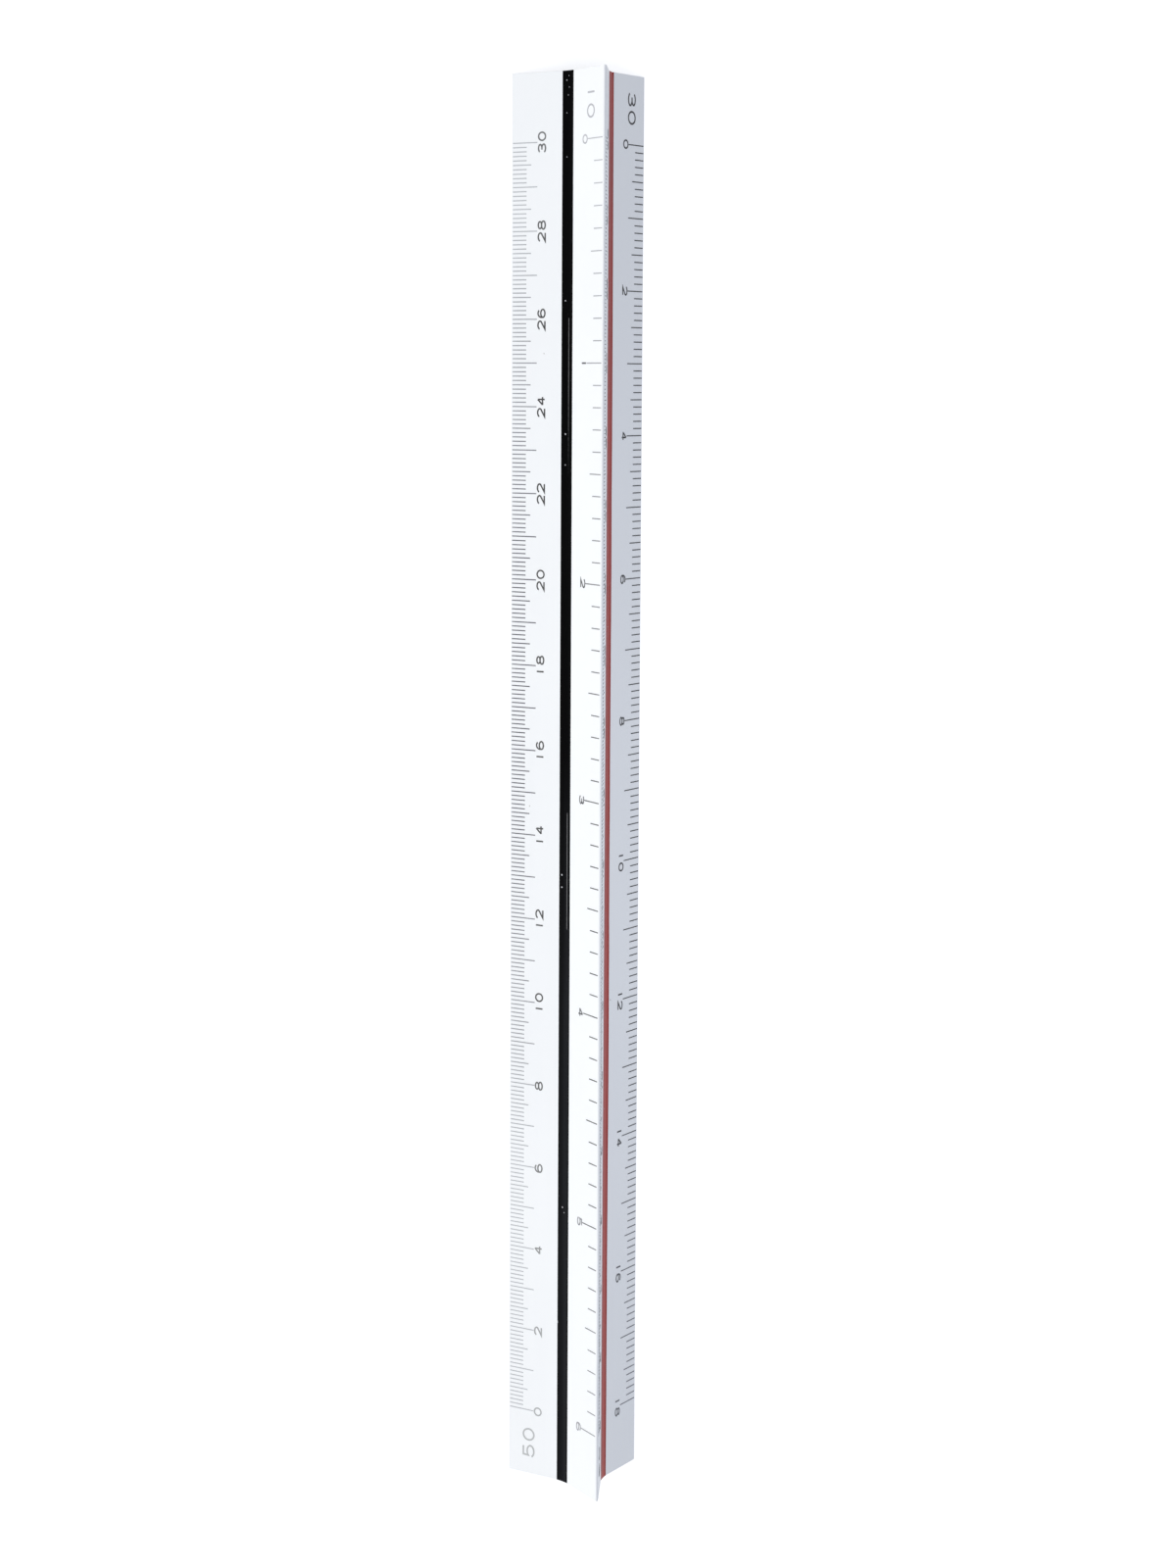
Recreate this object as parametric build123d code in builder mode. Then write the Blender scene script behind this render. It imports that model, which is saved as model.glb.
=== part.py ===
from build123d import *
import os
from math import acos, atan2, cos, hypot, sin, sqrt

# Six-inch triangular engineer's scale, in millimetres.
# X runs along the ruler, Y across it and Z up. It rests on its edges A and C at Z = 0,
# with edge B on top, and the origin is under the middle of the ruler.

# Extruded body: the scales run its length, less a bare margin at each end
inch = 25.4
scale_inches = 6
end_margin = 8.0
overall_length = scale_inches * inch + 2 * end_margin
corner_spacing = 15.5
corner_radius = 0.19
face_hollow = 1.69

# Groove along the middle of each face, and the coloured strip laid in it
groove_width = 1.88
groove_floor = 1.4
groove_depth = 0.5
strip_inset = 0.01
strip_hollow = 0.05

# Printed scales, with distances down the facet measured from where its rounded corner ends
ink_thickness = 0.02
line_width = 0.12
line_start = 0.08
short_line = 2.0
medium_line = 2.65
long_line = 3.5
numeral_gap = 0.08
numeral_height = 1.15
numeral_width = 1.1
numeral_pitch = 1.36
numeral_stroke = 0.18
title_height = 1.75
title_width = 1.6
title_pitch = 2.1
title_stroke = 0.21
title_baseline = 3.7
title_distance = 4.15

# Divisions to the inch, with the face and the end of it that each scale is printed on,
# and the count of units from one numeral to the next
scales = (
    (50, "left", "first", 2),
    (10, "left", "second", 1),
    (60, "right", "first", 2),
    (30, "right", "second", 2),
    (40, "base", "first", 2),
    (20, "base", "second", 2),
)
strip_colours = {"left": "black", "right": "red", "base": "green"}

# Centres of the three rounded corners, and the corners that each face runs between
corner_a = Vector(0, -corner_spacing / 2, corner_radius)
corner_b = Vector(0, 0, corner_radius + corner_spacing * sqrt(3) / 2)
corner_c = Vector(0, corner_spacing / 2, corner_radius)
section_centre = (corner_a + corner_b + corner_c) / 3
faces = {
    "left": (corner_a, corner_b),
    "right": (corner_b, corner_c),
    "base": (corner_c, corner_a),
}


def face_points(face):
    """Named points of one face's profile, in order from its first corner to its second."""
    first, second = faces[face]
    along = (second - first).normalized()
    outward = Vector(1, 0, 0).cross(along)
    middle = (first + second) / 2

    # Each facet leaves its rounded corner at a tangent and ends on a lip of the groove.
    lip_height = corner_radius - face_hollow
    lip_run = (corner_spacing - groove_width) / 2
    tangent = atan2(lip_height, lip_run) + acos(corner_radius / hypot(lip_run, lip_height))
    edge_rise = outward * corner_radius * sin(tangent)
    edge_run = along * corner_radius * cos(tangent)

    lip = middle + outward * lip_height
    floor = lip - outward * groove_depth
    inset = lip - outward * strip_inset
    wall_run = (groove_width - groove_floor) / 2 * strip_inset / groove_depth
    strip_half = groove_width / 2 - wall_run
    return {
        "first_edge": first + edge_rise + edge_run,
        "first_lip": lip - along * groove_width / 2,
        "first_floor": floor - along * groove_floor / 2,
        "second_floor": floor + along * groove_floor / 2,
        "second_lip": lip + along * groove_width / 2,
        "second_edge": second + edge_rise - edge_run,
        "second_tip": second + (second - section_centre).normalized() * corner_radius,
        "first_top": inset - along * strip_half,
        "strip_low": inset - outward * strip_hollow,
        "second_top": inset + along * strip_half,
    }


def in_section(point):
    """The point's place in a sketch on Plane.YZ."""
    return (point.Y, point.Z)


def facet_plane(face, end):
    """Plane on one facet, from its outer edge: X reads left to right, Y points to the edge."""
    points = face_points(face)
    edge = points[end + "_edge"]
    to_edge = (edge - points[end + "_lip"]).normalized()
    reading = Vector(1, 0, 0) if end == "second" else Vector(-1, 0, 0)
    return Plane(origin=edge, x_dir=reading, z_dir=reading.cross(to_edge))


def make_body():
    profile = ("first_edge", "first_lip", "first_floor", "second_floor", "second_lip", "second_edge")
    sides = [face_points(face) for face in faces]
    with BuildPart() as body:
        with BuildSketch(Plane.YZ):
            with BuildLine():
                for points, following in zip(sides, sides[1:] + sides[:1]):
                    Polyline(*[in_section(points[name]) for name in profile])
                    ThreePointArc(
                        in_section(points["second_edge"]),
                        in_section(points["second_tip"]),
                        in_section(following["first_edge"]),
                    )
            make_face()
        extrude(amount=overall_length / 2, both=True)
    body.part.label = "body"
    export_step(body.part, "parts/body.step")


def make_strip(face):
    points = {name: in_section(point) for name, point in face_points(face).items()}
    with BuildPart() as strip:
        with BuildSketch(Plane.YZ):
            with BuildLine():
                Polyline(points["first_top"], points["first_floor"], points["second_floor"], points["second_top"])
                ThreePointArc(points["second_top"], points["strip_low"], points["first_top"])
            make_face()
        extrude(amount=overall_length / 2, both=True)
    name = strip_colours[face] + "_groove_strip"
    strip.part.label = name
    export_step(strip.part, "parts/" + name + ".step")


def line_length(count):
    """Length of a scale's line: long on each unit, medium on each half, short elsewhere."""
    if count % 10 == 0:
        return long_line
    if count % 5 == 0:
        return medium_line
    return short_line


def make_graduations(divisions, plane):
    last = divisions * scale_inches
    pitch = inch / divisions
    with BuildPart() as lines:
        with BuildSketch(plane):
            for length in (short_line, medium_line, long_line):
                counts = [count for count in range(last + 1) if line_length(count) == length]
                with Locations(*[((count - last / 2) * pitch, -line_start) for count in counts]):
                    Rectangle(line_width, length - line_start, align=(Align.CENTER, Align.MAX))
        extrude(amount=ink_thickness)
    name = "scale_" + str(divisions) + "_graduations"
    lines.part.label = name
    export_step(lines.part, "parts/" + name + ".step")


def digit_paths(digit, half, high):
    """Centre lines of one digit about X = 0, from its baseline up, inside a BuildLine."""
    if digit == "1":
        Line((0, 0), (0, high))
    if digit == "2":
        bowl = EllipticalCenterArc((0, 0.7 * high), half, 0.3 * high, start_angle=-32, arc_size=200)
        Line(bowl @ 0, (-half, 0))
        Line((-half, 0), (half, 0))
    if digit == "3":
        EllipticalCenterArc((0, 0.76 * high), 0.92 * half, 0.24 * high, start_angle=-90, arc_size=250)
        EllipticalCenterArc((0, 0.26 * high), half, 0.26 * high, start_angle=-160, arc_size=250)
        Line((-0.35 * half, 0.52 * high), (0, 0.52 * high))
    if digit == "4":
        # The slanting stroke ends just off the other two's ends, so that all three overlap.
        Line((0.4 * half, 0), (0.4 * half, 0.97 * high))
        Line((0.4 * half, high), (-0.96 * half, 0.3 * high))
        Line((-half, 0.3 * high), (half, 0.3 * high))
    if digit == "5":
        bowl = EllipticalCenterArc((0, 0.32 * high), half, 0.32 * high, start_angle=-160, arc_size=300)
        Line(bowl @ 1, (-0.7 * half, high))
        Line((-0.7 * half, high), (0.85 * half, high))
    if digit == "6":
        EllipticalCenterArc((0, 0.3 * high), half, 0.3 * high, start_angle=0, arc_size=360)
        EllipticalCenterArc((0, 0.5 * high), half, 0.5 * high, start_angle=42, arc_size=148)
    if digit == "8":
        # Each loop is drawn as two halves: two closed strokes that cross don't fuse into one.
        for start in (-90, 90):
            EllipticalCenterArc((0, 0.76 * high), 0.86 * half, 0.24 * high, start_angle=start, arc_size=180)
            EllipticalCenterArc((0, 0.27 * high), half, 0.27 * high, start_angle=start, arc_size=180)
    if digit == "0":
        EllipticalCenterArc((0, 0.5 * high), half, 0.5 * high, start_angle=0, arc_size=360)


def digit_sketch(digit, width, height, stroke):
    with BuildSketch() as glyph:
        with BuildLine():
            digit_paths(digit, (width - stroke) / 2, height - stroke)
        trace(line_width=stroke)
    return glyph.sketch


def add_number(number, centre, baseline, width, height, pitch, stroke):
    """Draws one number in the open sketch, centred on its place along the scale."""
    text = str(number)
    for index, digit in enumerate(text):
        offset = (index - (len(text) - 1) / 2) * pitch
        with Locations((centre + offset, baseline + stroke / 2)):
            add(glyphs[digit, height])


def make_numerals(divisions, step, plane):
    units = divisions * scale_inches // 10
    unit_length = inch * 10 / divisions
    baseline = -(long_line + numeral_gap + numeral_height)
    zero = -units * unit_length / 2
    with BuildPart() as numerals:
        with BuildSketch(plane):
            for unit in range(0, units + 1, step):
                add_number(unit, zero + unit * unit_length, baseline, numeral_width, numeral_height,
                           numeral_pitch, numeral_stroke)
            add_number(divisions, zero - title_distance, -title_baseline, title_width, title_height,
                       title_pitch, title_stroke)
        extrude(amount=ink_thickness)
    name = "scale_" + str(divisions) + "_numerals"
    numerals.part.label = name
    export_step(numerals.part, "parts/" + name + ".step")


glyphs = {}
for digit in "01234568":
    glyphs[digit, numeral_height] = digit_sketch(digit, numeral_width, numeral_height, numeral_stroke)
    glyphs[digit, title_height] = digit_sketch(digit, title_width, title_height, title_stroke)

os.makedirs("parts", exist_ok=True)
make_body()
for face in faces:
    make_strip(face)
for divisions, face, end, step in scales:
    make_graduations(divisions, facet_plane(face, end))
    make_numerals(divisions, step, facet_plane(face, end))
    print("scale", divisions)
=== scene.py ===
import bpy
import bmesh
from math import asin, atan2, cos, hypot, pi, radians, sin, sqrt, tan
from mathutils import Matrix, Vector


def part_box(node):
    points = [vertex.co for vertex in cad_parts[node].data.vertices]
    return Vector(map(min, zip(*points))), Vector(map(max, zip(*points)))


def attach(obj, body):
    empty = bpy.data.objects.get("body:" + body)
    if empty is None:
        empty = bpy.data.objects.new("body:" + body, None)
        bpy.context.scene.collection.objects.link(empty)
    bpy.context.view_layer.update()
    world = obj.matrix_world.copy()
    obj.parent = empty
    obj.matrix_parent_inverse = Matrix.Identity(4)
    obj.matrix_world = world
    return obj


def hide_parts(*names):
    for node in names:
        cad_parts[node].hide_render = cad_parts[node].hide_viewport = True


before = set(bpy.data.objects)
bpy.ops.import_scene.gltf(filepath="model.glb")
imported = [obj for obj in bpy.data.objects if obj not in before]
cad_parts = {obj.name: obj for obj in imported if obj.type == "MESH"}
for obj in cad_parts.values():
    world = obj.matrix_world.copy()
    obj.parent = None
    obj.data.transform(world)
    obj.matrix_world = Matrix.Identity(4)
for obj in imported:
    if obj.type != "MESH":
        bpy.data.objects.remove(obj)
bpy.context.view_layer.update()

# A six-inch triangular engineer's scale, in metres. It lies along X on its edges A and C,
# with edge B on top. The printed scales are the CAD's own films of ink.

mm = 0.001
tiny = 0.001 * mm
turn = 2 * pi / 3               # from one face of the ruler to the next

section = {
    "cornerSpacing": 15.5 * mm,
    "cornerRadius": 0.19 * mm,
    "lipHeight": 1.69 * mm,     # from the table up to the lips of the lowest groove
    "grooveWidth": 1.88 * mm,
    "grooveFloor": 1.4 * mm,
    "grooveDepth": 0.5 * mm,
}
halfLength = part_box("body")[1].x
middle = Vector((0, 0, section["cornerRadius"] + section["cornerSpacing"] / (2 * sqrt(3))))


def inMillimetres(corners):
    return [tuple(round(value / mm, 3) for value in corner) for corner in corners]


# edit mode helpers: only what is picked is changed

def addPiece(name, operator, **settings):
    bpy.ops.object.select_all(action="DESELECT")
    operator(**settings)
    piece = bpy.context.object
    piece.name = name
    piece.data.name = name
    bpy.ops.object.transform_apply(location=True, rotation=True, scale=True)
    return piece


def copyPiece(piece, name):
    bpy.ops.object.select_all(action="DESELECT")
    piece.select_set(True)
    bpy.context.view_layer.objects.active = piece
    bpy.ops.object.duplicate()
    twin = bpy.context.object
    twin.name = name
    twin.data.name = name
    return twin


def pickPoints(piece, wanted):
    bpy.ops.mesh.select_mode(type="VERT")
    bpy.ops.mesh.select_all(action="DESELECT")
    shape = bmesh.from_edit_mesh(piece.data)
    for point in shape.verts:
        if wanted(point.co):
            point.select_set(True)
    bmesh.update_edit_mesh(piece.data)


def pickEdges(piece, wanted):
    bpy.ops.mesh.select_mode(type="EDGE")
    bpy.ops.mesh.select_all(action="DESELECT")
    shape = bmesh.from_edit_mesh(piece.data)
    for edge in shape.edges:
        if wanted(edge.verts[0].co, edge.verts[1].co):
            edge.select_set(True)
    bmesh.update_edit_mesh(piece.data)


def pickFaces(piece, wanted):
    bpy.ops.mesh.select_mode(type="FACE")
    bpy.ops.mesh.select_all(action="DESELECT")
    shape = bmesh.from_edit_mesh(piece.data)
    for face in shape.faces:
        if wanted(face.calc_center_median(), face.normal):
            face.select_set(True)
    bmesh.update_edit_mesh(piece.data)


def fromAxis(place):
    return hypot(place.y - middle.y, place.z - middle.z)


def turnAll(angle):
    bpy.ops.mesh.select_all(action="SELECT")
    bpy.ops.transform.rotate(value=angle, orient_axis="X", center_override=middle)


# the white extrusion

body = {
    "cornerProfile": 0.37,      # rounds the sharp corners to an arc rather than an oval
    "cornerSegments": 10,
    "lipRounding": 0.025 * mm,
    "endRounding": 0.03 * mm,
}


def makeBody():
    lipRise = section["lipHeight"] - section["cornerRadius"]
    lipRun = (section["cornerSpacing"] - section["grooveWidth"]) / 2
    facetSlope = atan2(lipRise, lipRun) + asin(section["cornerRadius"] / hypot(lipRise, lipRun))
    halfTip = pi / 6 - facetSlope
    sharpRadius = section["cornerSpacing"] / sqrt(3) + section["cornerRadius"] / sin(halfTip)
    lift = section["lipHeight"] - (middle.z - sharpRadius / 2)
    halfGroove = section["grooveWidth"] / 2

    piece = addPiece("rulerBody", bpy.ops.mesh.primitive_cylinder_add, vertices=3, radius=sharpRadius,
                     depth=2 * halfLength, end_fill_type="NOTHING", location=middle,
                     rotation=(pi / 2, 0, pi / 2))
    bpy.ops.object.mode_set(mode="EDIT")
    for face in range(3):
        # hollow the face that is underneath, sink its groove, then turn the next face down
        for lip in (-halfGroove, halfGroove):
            pickFaces(piece, lambda place, normal: normal.z < -0.999)
            bpy.ops.mesh.bisect(plane_co=(0, lip, 0), plane_no=(0, 1, 0))
        pickFaces(piece, lambda place, normal: normal.z < -0.999 and abs(place.y) < halfGroove)
        bpy.ops.transform.translate(value=(0, 0, lift))
        bpy.ops.mesh.extrude_region_move(TRANSFORM_OT_translate={"value": (0, 0, section["grooveDepth"])})
        bpy.ops.transform.resize(value=(1, section["grooveFloor"] / section["grooveWidth"], 1),
                                 center_override=(0, 0, 0))
        pickFaces(piece, lambda place, normal: abs(normal.x) > 0.9)
        bpy.ops.mesh.delete(type="FACE")
        turnAll(turn)

    # rounded long corners and groove lips
    lipFromAxis = hypot(halfGroove, middle.z - section["lipHeight"])
    pickEdges(piece, lambda start, end: min(fromAxis(start), fromAxis(end)) > sharpRadius - tiny
              and abs(start.x - end.x) > halfLength)
    bpy.ops.mesh.bevel(offset=section["cornerRadius"] / tan(halfTip), segments=body["cornerSegments"],
                       profile=body["cornerProfile"], affect="EDGES")
    pickEdges(piece, lambda start, end: abs(fromAxis(start) - lipFromAxis) < 10 * tiny
              and abs(start.x - end.x) > halfLength)
    bpy.ops.mesh.bevel(offset=body["lipRounding"], segments=3, affect="EDGES")

    # sawn ends
    bpy.ops.mesh.select_all(action="SELECT")
    bpy.ops.mesh.fill_holes(sides=0)
    pickEdges(piece, lambda start, end: abs(start.x - end.x) < tiny and abs(start.x) > halfLength - tiny)
    bpy.ops.mesh.bevel(offset=body["endRounding"], segments=2, affect="EDGES", clamp_overlap=True)
    bpy.ops.mesh.select_all(action="SELECT")
    bpy.ops.mesh.remove_doubles(threshold=0.0001 * mm)
    bpy.ops.mesh.normals_make_consistent(inside=False)
    bpy.ops.object.mode_set(mode="OBJECT")
    bpy.ops.object.shade_smooth_by_angle(angle=radians(30))
    evened = piece.modifiers.new("evenFacets", "WEIGHTED_NORMAL")
    evened.keep_sharp = True
    bpy.ops.object.modifier_apply(modifier=evened.name)
    return piece


rulerBody = makeBody()
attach(rulerBody, "root")
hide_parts("body")
print("body", inMillimetres(rulerBody.bound_box)[::6], len(rulerBody.data.polygons))


# the coloured strips laid in the grooves

strip = {
    "inset": 0.01 * mm,
    "hollow": 0.05 * mm,
    "cutsAlong": 59,
    "cutsAcross": 9,
    "ripple": 0.004 * mm,
    "roundedEnd": 1.0 * mm,     # how far the red strip's corner is rounded back
    "nickPlace": 64.4 * mm,
    "nickLength": 0.5 * mm,
    "nickDepth": 0.14 * mm,
}
stripTop = section["lipHeight"] + strip["inset"]
stripFloor = section["lipHeight"] + section["grooveDepth"]
stripHalf = (section["grooveWidth"]
             - (section["grooveWidth"] - section["grooveFloor"]) * strip["inset"] / section["grooveDepth"]) / 2
stripNarrowing = section["grooveFloor"] / 2 / stripHalf


def makeStrip():
    # made in the lowest groove, with its face down
    piece = addPiece("greenStrip", bpy.ops.mesh.primitive_cube_add, size=1,
                     location=(0, 0, (stripTop + stripFloor) / 2),
                     scale=(2 * halfLength, 2 * stripHalf, stripFloor - stripTop))
    bpy.ops.object.mode_set(mode="EDIT")
    pickEdges(piece, lambda start, end: abs(start.x - end.x) > tiny)
    bpy.ops.mesh.subdivide(number_cuts=strip["cutsAlong"])
    pickEdges(piece, lambda start, end: abs(start.y - end.y) > tiny)
    bpy.ops.mesh.subdivide(number_cuts=strip["cutsAcross"])
    pickPoints(piece, lambda place: place.z > stripFloor - tiny)
    bpy.ops.transform.resize(value=(1, stripNarrowing, 1), center_override=(0, 0, 0))
    for row in stripRows()[1:-1]:
        pickPoints(piece, lambda place: place.z < stripTop + tiny and abs(place.y - row) < tiny)
        bpy.ops.transform.translate(value=(0, 0, strip["hollow"] * (1 - (row / stripHalf) ** 2)))
    pickPoints(piece, lambda place: place.z < stripFloor - tiny and abs(place.y) < stripHalf - tiny
               and abs(place.x) < halfLength - tiny)
    bpy.ops.transform.vertex_random(offset=strip["ripple"], uniform=0.0, normal=1.0, seed=3)
    bpy.ops.object.mode_set(mode="OBJECT")
    bpy.ops.object.shade_smooth_by_angle(angle=radians(30))
    return piece


def stripRows():
    spacing = 2 * stripHalf / (strip["cutsAcross"] + 1)
    return [count * spacing - stripHalf for count in range(strip["cutsAcross"] + 2)]


def roundEnd(piece):
    for row in stripRows():
        if row < -tiny:
            pickPoints(piece, lambda place: place.x < -halfLength + tiny
                       and min(abs(place.y - row), abs(place.y - row * stripNarrowing)) < tiny)
            away = strip["roundedEnd"] * (1 - sqrt(max(0, 1 - (row / stripHalf) ** 2)))
            bpy.ops.transform.translate(value=(away, 0, 0))


def cutNick(piece):
    for place in (-1, 0, 1):
        bpy.ops.mesh.select_all(action="SELECT")
        bpy.ops.mesh.bisect(plane_co=(strip["nickPlace"] + place * strip["nickLength"] / 2, 0, 0),
                            plane_no=(1, 0, 0))
    pickPoints(piece, lambda place: abs(place.x - strip["nickPlace"]) < tiny and place.y > stripHalf - tiny)
    bpy.ops.transform.translate(value=(0, -strip["nickDepth"], 0))


greenStrip = makeStrip()
redStrip = copyPiece(greenStrip, "redStrip")
bpy.ops.object.mode_set(mode="EDIT")
roundEnd(redStrip)
turnAll(-turn)
bpy.ops.object.mode_set(mode="OBJECT")
blackStrip = copyPiece(greenStrip, "blackStrip")
bpy.ops.object.mode_set(mode="EDIT")
cutNick(blackStrip)
turnAll(turn)
bpy.ops.object.mode_set(mode="OBJECT")

for piece, colour in ((blackStrip, "black"), (redStrip, "red"), (greenStrip, "green")):
    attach(piece, "root")
    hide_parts(colour + "_groove_strip")


# node helpers

noiseSpread = (0.3, 0.7)        # nearly all values of a noise texture lie between these


def addNode(tree, kind, inputs=None, **settings):
    node = tree.nodes.new("ShaderNode" + kind)
    for label, value in settings.items():
        setattr(node, label, value)
    for socket, value in (inputs or {}).items():
        if isinstance(value, bpy.types.NodeSocket):
            tree.links.new(value, node.inputs[socket])
        else:
            node.inputs[socket].default_value = value
    return node


def addGroup(tree, group, inputs):
    return addNode(tree, "Group", inputs, node_tree=group).outputs


def calculate(tree, operation, first, second=0.0, clamp=False):
    return addNode(tree, "Math", {0: first, 1: second}, operation=operation, use_clamp=clamp).outputs[0]


def product(tree, first, *others):
    for other in others:
        first = calculate(tree, "MULTIPLY", first, other)
    return first


def rescale(tree, value, fromLow, fromHigh, toLow=0.0, toHigh=1.0):
    return addNode(tree, "MapRange", {"Value": value, "From Min": fromLow, "From Max": fromHigh,
                                      "To Min": toLow, "To Max": toHigh}).outputs[0]


def noise(tree, place, scale, detail):
    return addNode(tree, "TexNoise", {"Vector": place, "Scale": scale, "Detail": detail}).outputs[0]


def mixColours(tree, amount, first, second):
    node = addNode(tree, "Mix", data_type="RGBA")
    for socket, value in ((0, amount), (6, first), (7, second)):
        if isinstance(value, bpy.types.NodeSocket):
            tree.links.new(value, node.inputs[socket])
        else:
            node.inputs[socket].default_value = value if socket == 0 else (*value, 1)
    return node.outputs[2]


def faceCoordinates(tree, angle):
    # along the ruler, across one face's groove, and up, with that face turned down
    place = addNode(tree, "TexCoord").outputs["Object"]
    centred = addNode(tree, "Mapping", {"Vector": place, "Location": -middle}).outputs[0]
    level = addNode(tree, "Mapping", {"Vector": centred, "Rotation": (-angle, 0, 0)}).outputs[0]
    return addNode(tree, "SeparateXYZ", {0: level}).outputs


def newGroup(name, inputs, outputs):
    group = bpy.data.node_groups.new(name, "ShaderNodeTree")
    for label, kind, value in inputs:
        socket = group.interface.new_socket(name=label, in_out="INPUT", socket_type="NodeSocket" + kind)
        socket.default_value = value
    for label, kind in outputs:
        group.interface.new_socket(name=label, in_out="OUTPUT", socket_type="NodeSocket" + kind)
    return group, group.nodes.new("NodeGroupInput").outputs, group.nodes.new("NodeGroupOutput").inputs


def newMaterial(name, roughness=0.4, gloss=0.5):
    material = bpy.data.materials.new(name)
    material.use_nodes = True
    tree = material.node_tree
    shader = tree.nodes["Principled BSDF"]
    shader.inputs["Roughness"].default_value = roughness
    shader.inputs["Specular IOR Level"].default_value = gloss
    return material, tree, shader.inputs


def makeGrain():
    # fine pimples, streaks that run with the extrusion, and a slow change of tone
    group, given, made = newGroup("extrusionGrain",
                                  (("Fine Scale", "Float", 3000.0), ("Streak Scale", "Float", 2200.0),
                                   ("Streak Share", "Float", 0.5), ("Tone Scale", "Float", 60.0)),
                                  (("Height", "Float"), ("Tone", "Float")))
    place = addNode(group, "TexCoord").outputs["Object"]
    drawn = addNode(group, "Mapping", {"Vector": place, "Scale": (0.02, 1, 1)}).outputs[0]
    fine = noise(group, place, given["Fine Scale"], 3.0)
    streaks = noise(group, drawn, given["Streak Scale"], 2.0)
    tone = noise(group, place, given["Tone Scale"], 4.0)
    height = addNode(group, "Mix", {0: given["Streak Share"], 2: fine, 3: streaks}).outputs[0]
    group.links.new(height, made["Height"])
    group.links.new(rescale(group, tone, *noiseSpread), made["Tone"])
    return group


def makeDust():
    # scattered specks, a few to each patch of surface
    group, given, made = newGroup("dustSpecks",
                                  (("Spacing Scale", "Float", 300.0), ("Speck Size", "Float", 0.1),
                                   ("Share", "Float", 0.3)),
                                  (("Mask", "Float"),))
    place = addNode(group, "TexCoord").outputs["Object"]
    cells = addNode(group, "TexVoronoi", {"Vector": place, "Scale": given["Spacing Scale"]})
    chance = addNode(group, "SeparateColor", {0: cells.outputs["Color"]}).outputs[0]
    near = calculate(group, "LESS_THAN", cells.outputs["Distance"], given["Speck Size"])
    chosen = calculate(group, "LESS_THAN", chance, given["Share"])
    group.links.new(product(group, near, chosen), made["Mask"])
    return group


def makeCornerAndEndPatches():
    # a mask along the three long corners and round the ends, broken into patches; the plastic uses it for
    # painted shade with some handling wear, the ink for wear
    group, given, made = newGroup("cornerAndEndPatches",
                                  (("Reach", "Float", 0.6 * mm), ("Patch Scale", "Float", 350.0)),
                                  (("Mask", "Float"),))
    place = addNode(group, "TexCoord").outputs["Object"]
    centred = addNode(group, "Mapping", {"Vector": place, "Location": -middle}).outputs[0]
    part = addNode(group, "SeparateXYZ", {0: centred}).outputs
    squares = calculate(group, "ADD", product(group, part[1], part[1]), product(group, part[2], part[2]))
    out = calculate(group, "SQRT", squares)
    cornerReach = section["cornerSpacing"] / sqrt(3) + section["cornerRadius"]
    corner = rescale(group, calculate(group, "SUBTRACT", cornerReach, out), given["Reach"], 0.0)
    fromEnd = calculate(group, "SUBTRACT", halfLength, calculate(group, "ABSOLUTE", part[0]))
    end = rescale(group, fromEnd, given["Reach"], 0.0)
    patches = rescale(group, noise(group, place, given["Patch Scale"], 4.0), 0.4, 0.65)
    group.links.new(product(group, calculate(group, "MAXIMUM", corner, end), patches), made["Mask"])
    return group


def makeFleck():
    # one speck of lint, ragged at its edge
    group, given, made = newGroup("lintFleck",
                                  (("Place", "Vector", (0, 0, 0)), ("Size", "Float", 0.1 * mm)),
                                  (("Mask", "Float"),))
    place = addNode(group, "TexCoord").outputs["Object"]
    offset = addNode(group, "VectorMath", {0: place, 1: given["Place"]}, operation="DISTANCE")
    ragged = rescale(group, noise(group, place, 9000.0, 2.0), *noiseSpread, 0.6, 1.3)
    reach = product(group, given["Size"], ragged)
    group.links.new(calculate(group, "LESS_THAN", offset.outputs["Value"], reach), made["Mask"])
    return group


grain = makeGrain()
dust = makeDust()
cornerAndEndGroup = makeCornerAndEndPatches()
fleck = makeFleck()


# paint in the grooves

# each paint's pale colour serves both its real dust specks and a painted highlight of the lit groove wall,
# whose stretch along the ruler is given in millimetres
paints = {
    "black": {"colour": (0.0003, 0.0003, 0.0005), "pale": (0.0009, 0.0009, 0.0011),
              "dustAndSheen": (0.014, 0.015, 0.018), "roughness": 0.25, "gloss": 0.015, "angle": -turn,
              # painted highlights: thin pale glint lines, each a share across and a stretch along in
              # millimetres
              "sheenFrom": -5, "sheenTo": 25, "paintedGlints": ((0.64, -56, -38), (0.70, 2, 16)),
              "flecks": ((9.5, 0.22, 0.10), (11.0, 0.23, 0.10), (-58.0, 0.31, 0.09), (-42.6, 0.36, 0.10),
                         (-39.0, 0.37, 0.08), (-79.4, 0.37, 0.06), (-74.4, 0.39, 0.06), (-83.6, 0.55, 0.06),
                         (-83.1, 0.36, 0.07), (-82.3, 0.60, 0.05), (-81.4, 0.50, 0.05), (50.0, 0.40, 0.08),
                         (50.6, 0.55, 0.06))},
    "red": {"colour": (0.25, 0.003, 0.003), "pale": (0.32, 0.006, 0.004),
            "dustAndSheen": (0.42, 0.03, 0.02), "roughness": 0.3, "gloss": 0.08, "angle": turn,
            "sheenFrom": -84, "sheenTo": 60, "paintedGlints": (),
            "flecks": ((-20.0, 0.5, 0.07), (38.0, 0.35, 0.06))},
    "green": {"colour": (0.008, 0.16, 0.055), "pale": (0.02, 0.2, 0.07),
              "dustAndSheen": (0.12, 0.25, 0.15), "roughness": 0.3, "gloss": 0.08, "angle": 0.0,
              "sheenFrom": -60, "sheenTo": 84, "paintedGlints": (),
              "flecks": ((-31.0, 0.4, 0.09), (52.0, 0.6, 0.08))},
}
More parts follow.
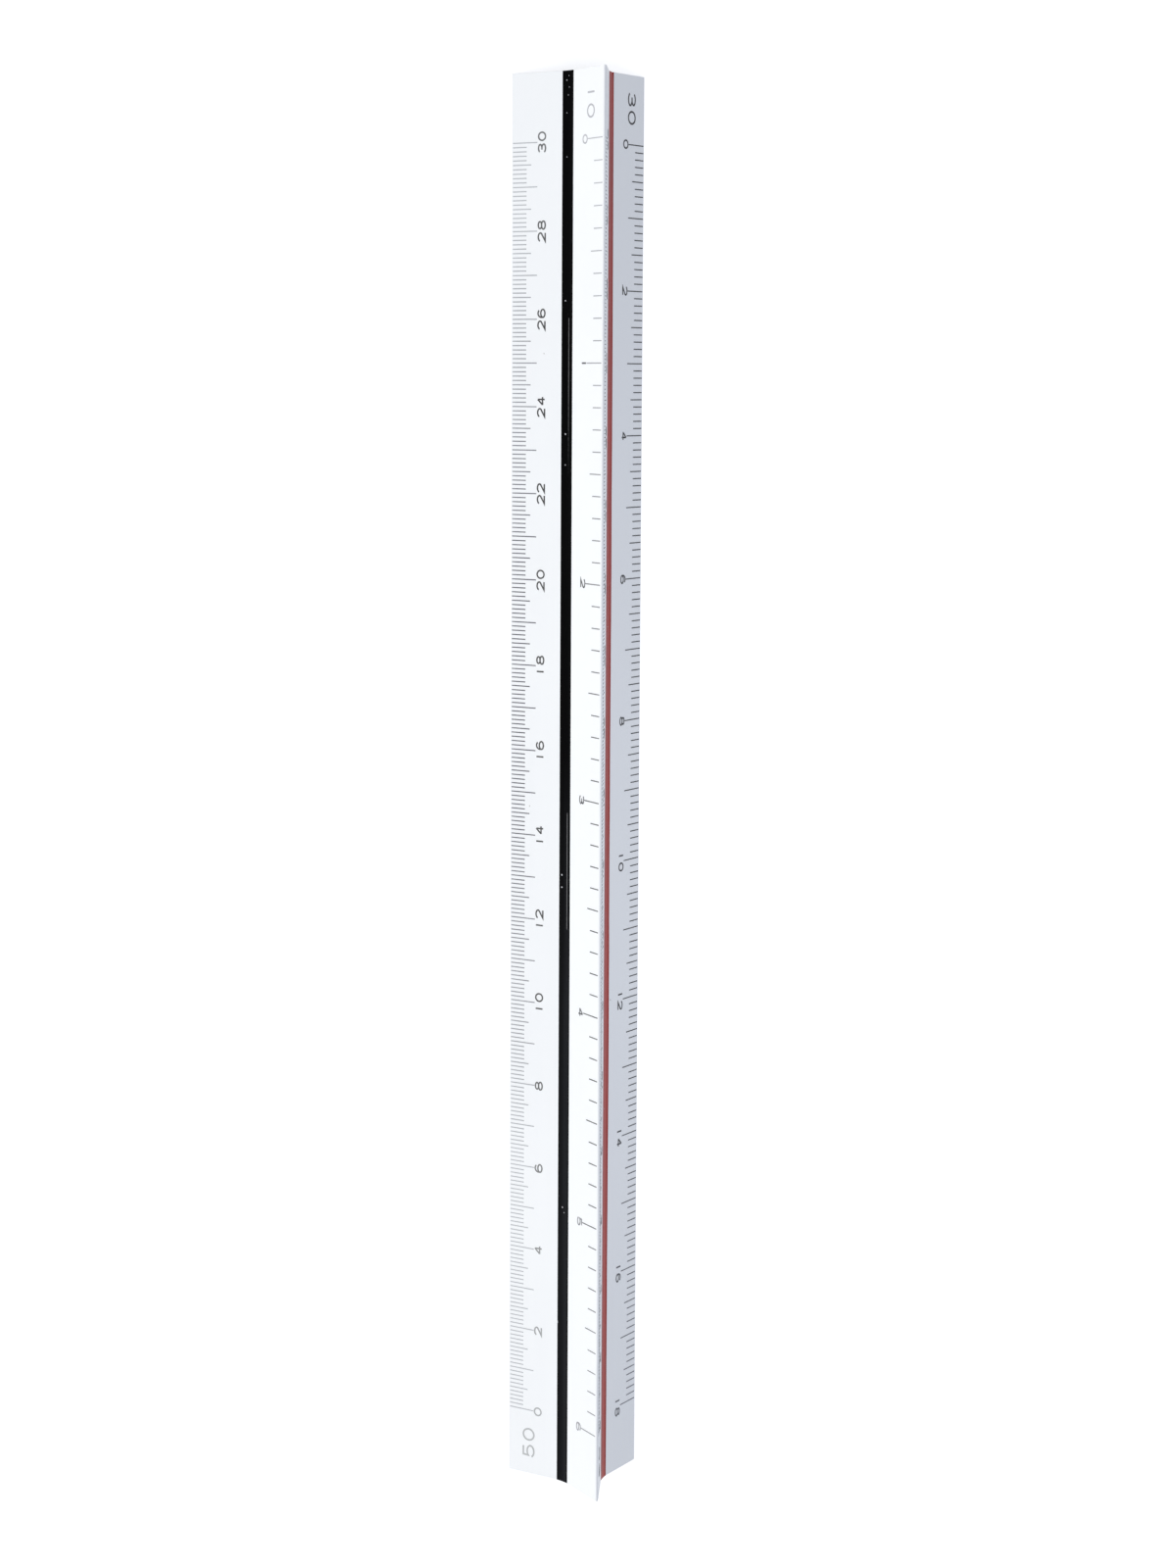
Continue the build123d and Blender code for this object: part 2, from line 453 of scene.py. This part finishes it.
# marks on the painted strips: real specks and lint, and painted highlights, a pale film for the lit groove wall
# and thin pale glint lines
paintMarksAndSheen = {
    "sheenRise": (0.05, 0.6, 0.2, 1.0),    # painted highlight of the groove wall that faces the light, drawn as a pale film: it rises over these shares of the way across
    "sheenFall": (0.95, 0.8),              # and is gone again over these
    "glintHalfWidth": 0.025,                    # half a painted glint line's width, as a share of the strip's
    # colour of the painted glint lines
    "glintColour": (0.20, 0.20, 0.21),
    "speckShare": 0.6,
    "lint": (0.55, 0.56, 0.60),
    "lintRoughness": 0.9,
    "bump": 0.12,
}


def grooveFlecks(tree, angle, flecks):
    # each fleck has its place along X, its share of the way across from the first lip, and its size
    total = 0.0
    for along, across, size in flecks:
        y = stripHalf - 2 * stripHalf * across
        z = stripTop + strip["hollow"] * (1 - (y / stripHalf) ** 2) - middle.z
        place = (along * mm, y * cos(angle) - z * sin(angle), y * sin(angle) + z * cos(angle) + middle.z)
        total = calculate(tree, "MAXIMUM", total, addGroup(tree, fleck, {"Place": place, "Size": size * mm})[0])
    return total


def paintedGlintMask(tree, share, along, height, glint):
    # painted highlight: a thin pale line, standing in for a specular glint, that comes and goes
    line, start, end = glint
    offset = calculate(tree, "ABSOLUTE", calculate(tree, "SUBTRACT", share, line))
    return product(tree, calculate(tree, "LESS_THAN", offset, paintMarksAndSheen["glintHalfWidth"]),
                   calculate(tree, "GREATER_THAN", along, start * mm),
                   calculate(tree, "LESS_THAN", along, end * mm), rescale(tree, height, 0.42, 0.55))


def makePaint(name):
    paint = paints[name]
    material, tree, shader = newMaterial(name + "Paint", gloss=paint["gloss"])
    grained = addGroup(tree, grain, {"Fine Scale": 5000.0, "Streak Scale": 1500.0, "Streak Share": 0.8,
                                     "Tone Scale": 90.0})
    specks = addGroup(tree, dust, {"Spacing Scale": 420.0, "Speck Size": 0.03, "Share": 0.3})[0]
    lint = grooveFlecks(tree, paint["angle"], paint["flecks"])

    # painted highlight: a pale film on one stretch of the strip, but not right up to its lips, stands in for
    # the groove wall that faces the light
    along, across = faceCoordinates(tree, paint["angle"])[:2]
    share = rescale(tree, across, stripHalf, -stripHalf)
    paintedSheen = product(tree, rescale(tree, share, *paintMarksAndSheen["sheenRise"]),
                   rescale(tree, share, *paintMarksAndSheen["sheenFall"]),
                   rescale(tree, along, paint["sheenFrom"] * mm, paint["sheenTo"] * mm),
                   rescale(tree, grained["Height"], 0.3, 0.6, 0.6, 1.0))
    colour = mixColours(tree, grained["Tone"], paint["colour"], paint["pale"])
    colour = mixColours(tree, paintedSheen, colour, paint["dustAndSheen"])
    # painted highlights: thin pale lines stand in for specular glints along the groove
    for glint in paint["paintedGlints"]:
        mask = paintedGlintMask(tree, share, along, grained["Height"], glint)
        colour = mixColours(tree, mask, colour, paintMarksAndSheen["glintColour"])
    colour = mixColours(tree, product(tree, specks, paintMarksAndSheen["speckShare"]), colour, paint["dustAndSheen"])
    colour = mixColours(tree, lint, colour, paintMarksAndSheen["lint"])
    tree.links.new(colour, shader["Base Color"])
    bump = addNode(tree, "Bump", {"Strength": paintMarksAndSheen["bump"], "Distance": 0.03 * mm,
                                  "Height": grained["Height"]})
    tree.links.new(bump.outputs[0], shader["Normal"])
    tree.links.new(rescale(tree, lint, 0.0, 1.0, paint["roughness"], paintMarksAndSheen["lintRoughness"]),
                   shader["Roughness"])
    return material


# white plastic

plastic = {
    "white": (0.905, 0.93, 0.965),
    "shadeWhite": (0.885, 0.91, 0.95),
    # painted shade for the rounded corners and the ends, with some handling wear
    "nearCornersAndEnds": (0.78, 0.80, 0.83),
    "cornerAndEndShare": 0.15,
    "speck": (0.45, 0.44, 0.42),
    "speckShare": 0.7,
    "roughness": (0.39, 0.55),
    "gloss": 0.1,
    "bump": 0.12,
    "bleedWidth": 0.16 * mm,              # how far red paint has crept over the lips of its groove
    "bleedStart": (-75 * mm, -15 * mm),   # where along the ruler it begins, and where it is full
    "markPlace": (-51.9 * mm, -4.74 * mm, 3.58 * mm),    # one small dark mark on the 50 scale's facet
    "markSize": 0.09 * mm,
    "markShare": 0.6,
}


def bleedMask(tree, tone):
    along, across, up = faceCoordinates(tree, paints["red"]["angle"])
    crept = product(tree, rescale(tree, tone, 0.2, 0.8, 0.5, 1.0), plastic["bleedWidth"],
                    rescale(tree, along, *plastic["bleedStart"]))
    beside = calculate(tree, "SUBTRACT", calculate(tree, "ABSOLUTE", across), section["grooveWidth"] / 2)
    grooveMiddle = section["lipHeight"] + section["grooveDepth"] / 2 - middle.z
    return product(tree, calculate(tree, "LESS_THAN", beside, crept),
                   calculate(tree, "LESS_THAN", up, grooveMiddle))


def makePlastic():
    material, tree, shader = newMaterial("whitePlastic", gloss=plastic["gloss"])
    grained = addGroup(tree, grain, {"Fine Scale": 3500.0, "Streak Scale": 2600.0, "Streak Share": 0.6,
                                     "Tone Scale": 45.0})
    nearCornersAndEnds = addGroup(tree, cornerAndEndGroup, {"Reach": 0.5 * mm})[0]
    specks = addGroup(tree, dust, {"Spacing Scale": 160.0, "Speck Size": 0.018, "Share": 0.35})[0]
    mark = addGroup(tree, fleck, {"Place": plastic["markPlace"], "Size": plastic["markSize"]})[0]
    colour = mixColours(tree, grained["Tone"], plastic["white"], plastic["shadeWhite"])
    # painted shade: the rounded corners and the ends are drawn greyer, with some handling wear
    colour = mixColours(tree, product(tree, nearCornersAndEnds, plastic["cornerAndEndShare"]), colour, plastic["nearCornersAndEnds"])
    colour = mixColours(tree, product(tree, specks, plastic["speckShare"]), colour, plastic["speck"])
    colour = mixColours(tree, product(tree, mark, plastic["markShare"]), colour, plastic["speck"])
    colour = mixColours(tree, bleedMask(tree, grained["Tone"]), colour, paints["red"]["pale"])
    tree.links.new(colour, shader["Base Color"])

    # saw marks across the cut ends
    place = addNode(tree, "TexCoord").outputs
    facing = calculate(tree, "ABSOLUTE", addNode(tree, "SeparateXYZ", {0: place["Normal"]}).outputs[0])
    sawn = calculate(tree, "GREATER_THAN", facing, 0.8)
    marks = addNode(tree, "TexWave", {"Vector": place["Object"], "Scale": 900.0, "Distortion": 2.0,
                                      "Detail": 2.0, "Detail Scale": 0.6}, bands_direction="Z").outputs["Fac"]
    height = addNode(tree, "Mix", {0: sawn, 2: grained["Height"], 3: marks}).outputs[0]
    bump = addNode(tree, "Bump", {"Strength": plastic["bump"], "Distance": 0.05 * mm, "Height": height})
    tree.links.new(bump.outputs[0], shader["Normal"])
    tree.links.new(rescale(tree, grained["Height"], *noiseSpread, *plastic["roughness"]),
                   shader["Roughness"])
    return material


# printed ink: each film's colour, its worn colour, and where wear begins and is complete towards each end

inkOf = {
    "scale_50_graduations": ((0.035, 0.035, 0.065), (0.44, 0.46, 0.50), (-28, -72), (3, 48)),
    "scale_50_numerals": ((0.008, 0.008, 0.012), (0.44, 0.46, 0.48), (-60, -130), (25, 85)),
    "scale_10_graduations": ((0.025, 0.026, 0.032), (0.46, 0.47, 0.51), (5, -80), (40, 110)),
    "scale_10_numerals": ((0.04, 0.042, 0.05), (0.46, 0.47, 0.51), (-52, -78), (15, 110)),
    "scale_30_graduations": ((0.010, 0.010, 0.013), (0.22, 0.23, 0.26), (-84, -120), (30, 100)),
    "scale_30_numerals": ((0.008, 0.008, 0.011), (0.22, 0.23, 0.26), (-84, -120), (40, 110)),
    "scale_60_graduations": ((0.030, 0.030, 0.040), (0.30, 0.31, 0.35), (-20, -100), (60, 120)),
    "scale_60_numerals": ((0.012, 0.012, 0.016), (0.25, 0.26, 0.29), (-40, -120), (60, 120)),
    "scale_40_graduations": ((0.014, 0.014, 0.018), (0.30, 0.31, 0.35), (-40, -120), (40, 120)),
    "scale_40_numerals": ((0.010, 0.010, 0.014), (0.25, 0.26, 0.29), (-60, -120), (60, 120)),
    "scale_20_graduations": ((0.014, 0.014, 0.018), (0.30, 0.31, 0.35), (-60, -120), (20, 120)),
    "scale_20_numerals": ((0.010, 0.010, 0.014), (0.25, 0.26, 0.29), (-60, -120), (60, 120)),
}
inkWear = {
    "toneShare": 0.12,
    "cornerAndEndShare": 0.4,
    "roughness": 0.5,
    "gloss": 0.3,
    "bump": 0.15,
}


def makeInk(name, fresh, worn, wearLeft, wearRight):
    material, tree, shader = newMaterial(name + "Ink", roughness=inkWear["roughness"], gloss=inkWear["gloss"])
    grained = addGroup(tree, grain, {"Fine Scale": 9000.0, "Streak Share": 0.0, "Tone Scale": 400.0})
    nearCornersAndEnds = addGroup(tree, cornerAndEndGroup, {"Reach": 0.9 * mm, "Patch Scale": 700.0})[0]
    along = addNode(tree, "SeparateXYZ", {0: addNode(tree, "TexCoord").outputs["Object"]}).outputs[0]
    faded = calculate(tree, "MAXIMUM", rescale(tree, along, wearLeft[0] * mm, wearLeft[1] * mm),
                      rescale(tree, along, wearRight[0] * mm, wearRight[1] * mm))
    patchy = calculate(tree, "ADD", product(tree, grained["Tone"], inkWear["toneShare"]),
                       product(tree, nearCornersAndEnds, inkWear["cornerAndEndShare"]))
    wear = calculate(tree, "ADD", faded, patchy, clamp=True)
    tree.links.new(mixColours(tree, wear, fresh, worn), shader["Base Color"])
    bump = addNode(tree, "Bump", {"Strength": inkWear["bump"], "Distance": 0.01 * mm,
                                  "Height": grained["Height"]})
    tree.links.new(bump.outputs[0], shader["Normal"])
    return material


rulerBody.data.materials.append(makePlastic())
blackStrip.data.materials.append(makePaint("black"))
redStrip.data.materials.append(makePaint("red"))
greenStrip.data.materials.append(makePaint("green"))
for name, colours in inkOf.items():
    ink = makeInk(name, *colours)
    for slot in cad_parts[name].material_slots:
        slot.material = ink
print("materials", len(bpy.data.materials))


# table, lights and camera

room = {
    "tableSize": 6.0,
    "tableColour": (0.80, 0.80, 0.81),
    "tableRoughness": 0.9,
    "tableGlow": 0.58,
    "skyColour": (0.905, 0.932, 1.0),
    "skyStrength": 0.585,
    "keyElevation": radians(9),
    "keyAzimuth": radians(-14),
    "keyStrength": 1.81,
    "keyColour": (1.0, 0.97, 0.88),
    "keySoftness": radians(20),
    "fillPlace": (15 * mm, 95 * mm, 110 * mm),
    "fillSize": 60 * mm,
    "fillPower": 0.029,
    "fillColour": (0.93, 0.96, 1.0),
}
camera = {
    "place": (-49.09 * mm, -83.39 * mm, 367.87 * mm),
    "turn": (radians(-7.395), radians(-12.976), radians(90.315)),
    "lens": 72.5,
    "sensor": 36.0,
    "nearest": 0.01,
    "farthest": 20,
}


def seenDirectly(tree):
    # one for the camera and for what shows in gloss or glass, nothing for the light that falls on the ruler
    path = addNode(tree, "LightPath").outputs
    total = calculate(tree, "ADD", path["Is Camera Ray"], path["Is Glossy Ray"])
    return calculate(tree, "ADD", total, path["Is Transmission Ray"], clamp=True)


def makeTable():
    table = addPiece("table", bpy.ops.mesh.primitive_plane_add, size=room["tableSize"], location=(0, 0, 0))
    material, tree, shader = newMaterial("paleTable", roughness=room["tableRoughness"], gloss=0.0)
    shader["Base Color"].default_value = (*room["tableColour"], 1)
    shader["Emission Color"].default_value = (1, 1, 1, 1)
    tree.links.new(product(tree, seenDirectly(tree), room["tableGlow"]), shader["Emission Strength"])
    table.data.materials.append(material)


def makeSky():
    world = bpy.data.worlds.new("studio")
    bpy.context.scene.world = world
    world.use_nodes = True
    tree = world.node_tree
    light = tree.nodes["Background"]
    light.inputs["Color"].default_value = (*room["skyColour"], 1)
    light.inputs["Strength"].default_value = room["skyStrength"]
    plain = addNode(tree, "Background", {"Color": (1, 1, 1, 1), "Strength": 1.0})
    chosen = addNode(tree, "MixShader", {0: seenDirectly(tree), 1: light.outputs[0], 2: plain.outputs[0]})
    tree.links.new(chosen.outputs[0], tree.nodes["World Output"].inputs["Surface"])


def lampTurn(aim):
    return aim.to_track_quat("-Z", "Y").to_euler()


def makeLights():
    bpy.ops.object.select_all(action="DESELECT")
    level = cos(room["keyElevation"])
    aim = Vector((sin(room["keyAzimuth"]) * level, cos(room["keyAzimuth"]) * level,
                  -sin(room["keyElevation"])))
    bpy.ops.object.light_add(type="SUN", rotation=lampTurn(aim))
    key = bpy.context.object
    key.name = "keyLight"
    key.data.energy = room["keyStrength"]
    key.data.color = room["keyColour"]
    key.data.angle = room["keySoftness"]
    aim = middle + Vector((room["fillPlace"][0], 0, 0)) - Vector(room["fillPlace"])
    bpy.ops.object.light_add(type="AREA", location=room["fillPlace"], rotation=lampTurn(aim))
    fill = bpy.context.object
    fill.name = "fillLight"
    fill.data.size = room["fillSize"]
    fill.data.energy = room["fillPower"]
    fill.data.color = room["fillColour"]


def makeCamera():
    bpy.ops.object.camera_add(location=camera["place"], rotation=camera["turn"])
    viewer = bpy.context.object
    viewer.data.lens = camera["lens"]
    viewer.data.sensor_width = camera["sensor"]
    viewer.data.clip_start = camera["nearest"]
    viewer.data.clip_end = camera["farthest"]
    bpy.context.scene.camera = viewer


makeTable()
makeSky()
makeLights()
makeCamera()
bpy.context.scene.view_settings.view_transform = "Standard"
